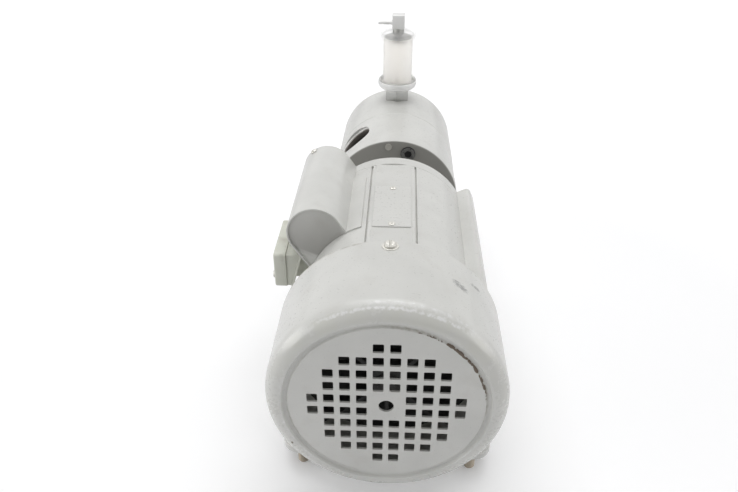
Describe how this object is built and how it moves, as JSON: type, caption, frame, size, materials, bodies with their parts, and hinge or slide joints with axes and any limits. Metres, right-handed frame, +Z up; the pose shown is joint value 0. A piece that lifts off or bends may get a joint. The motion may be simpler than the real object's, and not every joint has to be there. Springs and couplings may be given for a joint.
{
  "type": "diaphragm vacuum pump",
  "caption": "Electric diaphragm vacuum pump: fan-cooled motor on a footed plate, coaxial pump drum with a side outlet port, and a clear inlet filter with a hose tail on top.",
  "frame": {"origin": "On the floor at the foot studs' lower ends, midway between the four studs.", "axes": "+Z up; the shaft lies along Y, with the fan cover towards -Y and the pump drum towards +Y; +X is to the right seen from the fan cover."},
  "size_m": [0.1623, 0.4088, 0.237],
  "materials": {
    "enamel": "satin",
    "box_enamel": "satin",
    "plate_enamel": "satin",
    "dark_fan": "matt",
    "bright_steel": "turned and ground",
    "zinc_steel": "zinc plated",
    "stud_steel": "dull zinc",
    "black_steel": "black oxide",
    "bearing_steel": "polished",
    "core_steel": "laminated",
    "winding": "varnished copper",
    "cast_metal": "as cast and machined",
    "anodised": "bright",
    "brass": "machined",
    "black_rubber": "matt",
    "grey_rubber": "matt",
    "can": "drawn can",
    "moulding": "moulded",
    "clear_plastic": "clear moulded plastic",
    "filter_white": "sintered",
    "valve_steel": "rolled strip"
  },
  "bodies": {
    "pump_body": {"fan_cover": "enamel", "fan_cover_screws": "zinc_steel", "fan_end_shield": "enamel", "wave_washer": "valve_steel", "motor_frame": "enamel", "stator_core": "core_steel", "stator_windings": "winding", "drive_end_shield": "enamel", "tie_bolts": "zinc_steel", "shaft_seal": "black_rubber", "blank_plate": "plate_enamel", "capacitor_cover": "enamel", "run_capacitor": "can", "terminal_box": "box_enamel", "terminal_box_lid": "box_enamel", "terminal_block": "moulding", "cable_grommet": "black_rubber", "small_screws": "zinc_steel", "foot_plate": "enamel", "frame_cradles": "enamel", "foot_studs": "stud_steel", "foot_nuts": "stud_steel", "foot_discs": "grey_rubber", "pump_adapter": "enamel", "casing_screws": "black_steel", "housing_front_screws": "black_steel", "locating_pin": "bright_steel", "pump_housing": "enamel", "rear_housing": "enamel", "crankcase": "cast_metal", "diaphragm": "black_rubber", "valve_plate": "cast_metal", "valve_guards": "valve_steel", "head_cover": "cast_metal", "head_screws": "black_steel", "filter_nipple": "bright_steel", "filter_base": "anodised", "filter_bowl": "clear_plastic", "filter_element": "filter_white", "filter_stem": "anodised", "elbow_block": "anodised", "hose_barb": "bright_steel", "bearing_outer_rings": "bearing_steel"},
    "rotor": {"external_fan": "dark_fan", "fan_circlip": "bright_steel", "rotor_core": "core_steel", "motor_shaft": "bright_steel", "bearing_inner_rings": "bearing_steel", "eccentric": "bright_steel", "crank_bearing_inner": "bearing_steel"},
    "rod": {"connecting_rod": "cast_metal", "crank_bearing_outer": "bearing_steel", "clamp_disc": "anodised", "clamp_screw": "black_steel"},
    "fan_cage": {"fan_bearing_balls": "bearing_steel"},
    "drive_cage": {"drive_bearing_balls": "bearing_steel"},
    "tail_cage": {"tail_bearing_balls": "bearing_steel"},
    "crank_cage": {"crank_bearing_balls": "bearing_steel"},
    "inlet_valve": {"inlet_valve_disc": "valve_steel"},
    "outlet_valve": {"outlet_valve_disc": "valve_steel"}
  },
  "joints": [
    {"name": "rotor_spin", "type": "hinge", "parent": "pump_body", "child": "rotor", "pos_m": [0, -0.086, 0.098], "axis": [0, 1, 0], "continuous": true, "deforming": ["diaphragm"]},
    {"name": "fan_cage_spin", "type": "hinge", "parent": "pump_body", "child": "fan_cage", "pos_m": [0, -0.086, 0.098], "axis": [0, 1, 0], "continuous": true},
    {"name": "drive_cage_spin", "type": "hinge", "parent": "pump_body", "child": "drive_cage", "pos_m": [0, 0.0595, 0.098], "axis": [0, 1, 0], "continuous": true},
    {"name": "tail_cage_spin", "type": "hinge", "parent": "pump_body", "child": "tail_cage", "pos_m": [0, 0.247, 0.098], "axis": [0, 1, 0], "continuous": true},
    {"name": "crank_cage_spin", "type": "hinge", "parent": "rotor", "child": "crank_cage", "pos_m": [0, 0.2255, 0.1005], "axis": [0, 1, 0], "continuous": true},
    {"name": "rod_swing", "type": "hinge", "parent": "rotor", "child": "rod", "pos_m": [0, 0.2255, 0.1005], "axis": [0, 1, 0], "continuous": true},
    {"name": "inlet_valve_lift", "type": "slide", "parent": "pump_body", "child": "inlet_valve", "axis": [0, 0, -1], "range_m": [0, 0.0008], "stiffness_N_per_m": 60},
    {"name": "outlet_valve_lift", "type": "slide", "parent": "pump_body", "child": "outlet_valve", "axis": [0, 0, 1], "range_m": [0, 0.0008], "stiffness_N_per_m": 60}
  ],
  "couplings": [
    {"joint": "fan_cage_spin", "follows": "rotor_spin", "ratio": 0.38},
    {"joint": "drive_cage_spin", "follows": "rotor_spin", "ratio": 0.38358},
    {"joint": "tail_cage_spin", "follows": "rotor_spin", "ratio": 0.37222},
    {"joint": "crank_cage_spin", "follows": "rotor_spin", "ratio": -0.57308},
    {"joint": "rod_swing", "follows": "rotor_spin", "ratio": -1}
  ]
}
